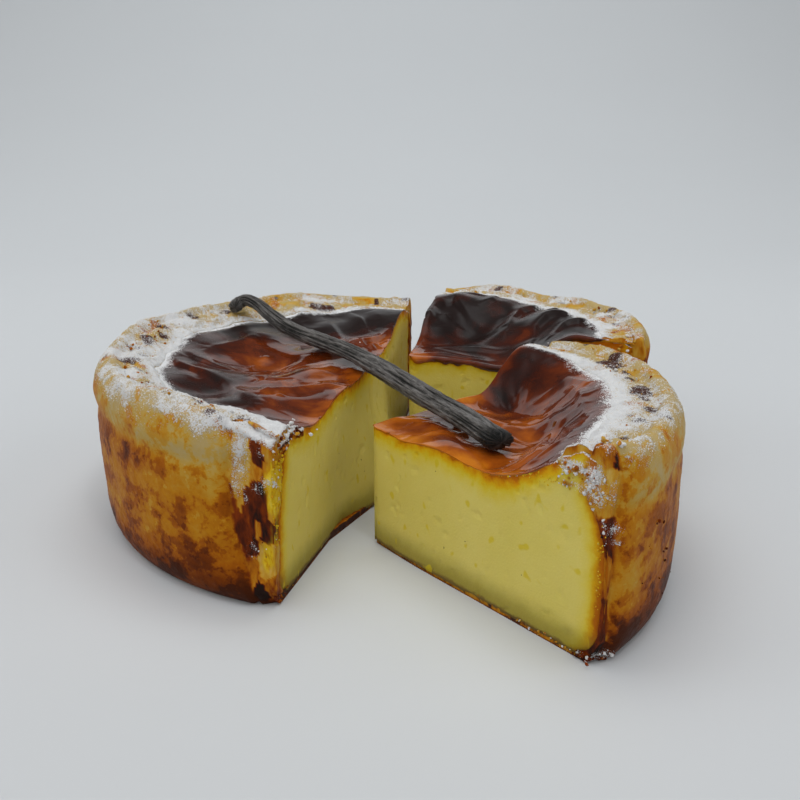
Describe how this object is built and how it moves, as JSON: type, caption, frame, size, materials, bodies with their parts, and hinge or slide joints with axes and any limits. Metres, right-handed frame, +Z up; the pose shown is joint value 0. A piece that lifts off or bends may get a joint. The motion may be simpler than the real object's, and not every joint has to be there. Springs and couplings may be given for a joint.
{
  "type": "custard flan",
  "caption": "Baked custard flan in a browned pastry case with a glazed top, cut into slices of different size, with a dark vanilla pod lying across them.",
  "frame": {"origin": "on the table, under the middle of the whole footprint", "axes": "+Y away from the viewer of the picture, the longest way across the slices; +Z up, the shortest; the half lies on the -X side"},
  "size_m": [0.195, 0.2322, 0.0598],
  "materials": {
    "pastry": "baked pastry, mottled tan to brown, dusted with sugar on the rim",
    "custard": "pale yellow set custard, satin where cut, with a dark glossy skin on top",
    "pod": "dried, wrinkled, near-black brown, satin"
  },
  "bodies": {
    "root": {"crust_half": "pastry", "custard_half": "custard", "crust_front": "pastry", "custard_front": "custard", "crust_back": "pastry", "custard_back": "custard", "vanilla_pod": "pod"}
  },
  "joints": []
}
